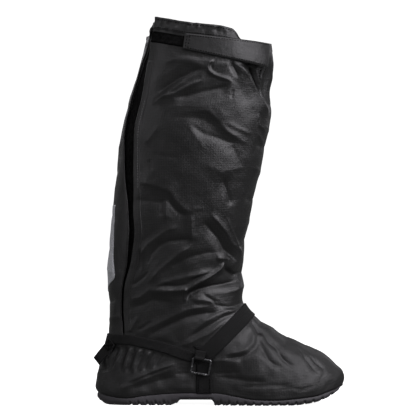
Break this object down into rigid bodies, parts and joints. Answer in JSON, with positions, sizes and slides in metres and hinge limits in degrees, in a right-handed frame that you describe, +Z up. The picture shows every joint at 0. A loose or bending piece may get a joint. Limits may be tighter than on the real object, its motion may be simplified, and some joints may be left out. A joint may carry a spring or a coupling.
{
  "type": "waterproof overshoe",
  "caption": "Tall black waterproof overshoe for a right foot, with a rubber sole, ankle straps and buckle.",
  "frame": {"origin": "on the floor under the heel, on the flat of the heel's tread", "axes": "+Z up, +X to the toe, +Y to the inner side of the foot"},
  "size_m": [0.3199, 0.1202, 0.4891],
  "materials": {
    "cloth": "coated black ripstop nylon, soft sheen",
    "rubber": "matte black moulded rubber",
    "pile": "black hook-and-loop tape",
    "webbing": "black woven webbing",
    "reflective": "silver-grey reflective print",
    "steel": "black-plated steel wire, worn bright at one corner"
  },
  "bodies": {
    "root": {"outsole": "rubber", "upper": "cloth", "closure_tape": "pile", "opening_hem": "cloth", "collar_band": "cloth", "pile_patch": "pile", "front_seam": "cloth", "collar_strap": "cloth", "reflective_panel": "reflective", "instep_strap": "webbing", "side_strap": "webbing", "heel_strap": "webbing", "heel_tab": "webbing", "buckle": "steel"}
  },
  "joints": []
}
